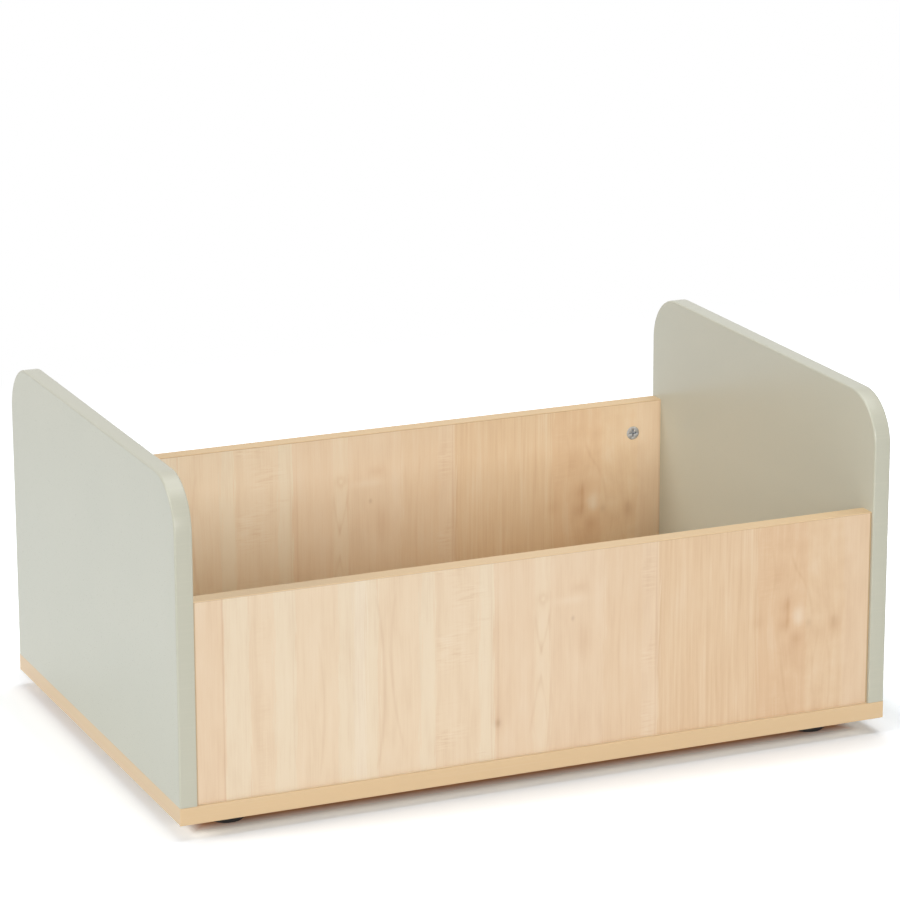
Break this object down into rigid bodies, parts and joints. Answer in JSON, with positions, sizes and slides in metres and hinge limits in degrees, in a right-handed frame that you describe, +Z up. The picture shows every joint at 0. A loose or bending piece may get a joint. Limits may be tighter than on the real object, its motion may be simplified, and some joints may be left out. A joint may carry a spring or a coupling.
{
  "type": "picture book browser bin",
  "caption": "Low open bin for browsing picture books: two rounded end panels on a base board, with a lower front and back panel between them, standing on round glides.",
  "frame": {"origin": "on the floor, under the middle of the base board", "axes": "+X along the bin to its right end, +Y from the front panel to the back panel, +Z up"},
  "size_m": [0.76, 0.5, 0.354],
  "materials": {
    "maple_laminate": "satin maple laminate on chipboard, upright grain",
    "maple_edging": "plain satin edging strip",
    "sage_laminate": "satin sage green melamine on chipboard",
    "sage_edging": "satin sage green edging strip",
    "cam_zinc": "bare die-cast zinc",
    "bolt_steel": "zinc plated",
    "dowel_beech": "plain beech",
    "screw_steel": "zinc plated",
    "glide_plastic": "black moulded plastic"
  },
  "bodies": {
    "bin": {"back_panel": "maple_laminate", "back_panel_edging": "maple_edging", "base_board": "maple_laminate", "base_edging_back": "maple_edging", "base_edging_front": "maple_edging", "base_edging_left": "maple_edging", "base_edging_right": "maple_edging", "base_screw_back_1": "screw_steel", "base_screw_back_2": "screw_steel", "base_screw_back_3": "screw_steel", "base_screw_front_1": "screw_steel", "base_screw_front_2": "screw_steel", "base_screw_front_3": "screw_steel", "base_screw_left_end_1": "screw_steel", "base_screw_left_end_2": "screw_steel", "base_screw_left_end_3": "screw_steel", "base_screw_right_end_1": "screw_steel", "base_screw_right_end_2": "screw_steel", "base_screw_right_end_3": "screw_steel", "cam_bolt_back_left_lower": "bolt_steel", "cam_bolt_back_left_upper": "bolt_steel", "cam_bolt_back_right_lower": "bolt_steel", "cam_bolt_back_right_upper": "bolt_steel", "cam_bolt_front_left_lower": "bolt_steel", "cam_bolt_front_left_upper": "bolt_steel", "cam_bolt_front_right_lower": "bolt_steel", "cam_bolt_front_right_upper": "bolt_steel", "dowel_back_left": "dowel_beech", "dowel_back_right": "dowel_beech", "dowel_front_left": "dowel_beech", "dowel_front_right": "dowel_beech", "front_panel": "maple_laminate", "front_panel_edging": "maple_edging", "glide_back_left": "glide_plastic", "glide_back_right": "glide_plastic", "glide_front_left": "glide_plastic", "glide_front_right": "glide_plastic", "glide_screw_back_left": "screw_steel", "glide_screw_back_right": "screw_steel", "glide_screw_front_left": "screw_steel", "glide_screw_front_right": "screw_steel", "left_end_edging": "sage_edging", "left_end_panel": "sage_laminate", "right_end_edging": "sage_edging", "right_end_panel": "sage_laminate"},
    "cam_back_left_lower": {"cam_back_left_lower": "cam_zinc"},
    "cam_back_left_upper": {"cam_back_left_upper": "cam_zinc"},
    "cam_back_right_lower": {"cam_back_right_lower": "cam_zinc"},
    "cam_back_right_upper": {"cam_back_right_upper": "cam_zinc"},
    "cam_front_left_lower": {"cam_front_left_lower": "cam_zinc"},
    "cam_front_left_upper": {"cam_front_left_upper": "cam_zinc"},
    "cam_front_right_lower": {"cam_front_right_lower": "cam_zinc"},
    "cam_front_right_upper": {"cam_front_right_upper": "cam_zinc"}
  },
  "joints": [
    {"name": "cam_back_left_lower_turn", "type": "hinge", "parent": "bin", "child": "cam_back_left_lower", "pos_m": [-0.328, 0.2285, 0.069], "axis": [0, -1, 0], "range_deg": [0, 180]},
    {"name": "cam_back_left_upper_turn", "type": "hinge", "parent": "bin", "child": "cam_back_left_upper", "pos_m": [-0.328, 0.2285, 0.201], "axis": [0, -1, 0], "range_deg": [0, 180]},
    {"name": "cam_back_right_lower_turn", "type": "hinge", "parent": "bin", "child": "cam_back_right_lower", "pos_m": [0.328, 0.2285, 0.069], "axis": [0, -1, 0], "range_deg": [0, 180]},
    {"name": "cam_back_right_upper_turn", "type": "hinge", "parent": "bin", "child": "cam_back_right_upper", "pos_m": [0.328, 0.2285, 0.201], "axis": [0, -1, 0], "range_deg": [0, 180]},
    {"name": "cam_front_left_lower_turn", "type": "hinge", "parent": "bin", "child": "cam_front_left_lower", "pos_m": [-0.328, -0.2285, 0.069], "axis": [0, 1, 0], "range_deg": [0, 180]},
    {"name": "cam_front_left_upper_turn", "type": "hinge", "parent": "bin", "child": "cam_front_left_upper", "pos_m": [-0.328, -0.2285, 0.201], "axis": [0, 1, 0], "range_deg": [0, 180]},
    {"name": "cam_front_right_lower_turn", "type": "hinge", "parent": "bin", "child": "cam_front_right_lower", "pos_m": [0.328, -0.2285, 0.069], "axis": [0, 1, 0], "range_deg": [0, 180]},
    {"name": "cam_front_right_upper_turn", "type": "hinge", "parent": "bin", "child": "cam_front_right_upper", "pos_m": [0.328, -0.2285, 0.201], "axis": [0, 1, 0], "range_deg": [0, 180]}
  ]
}
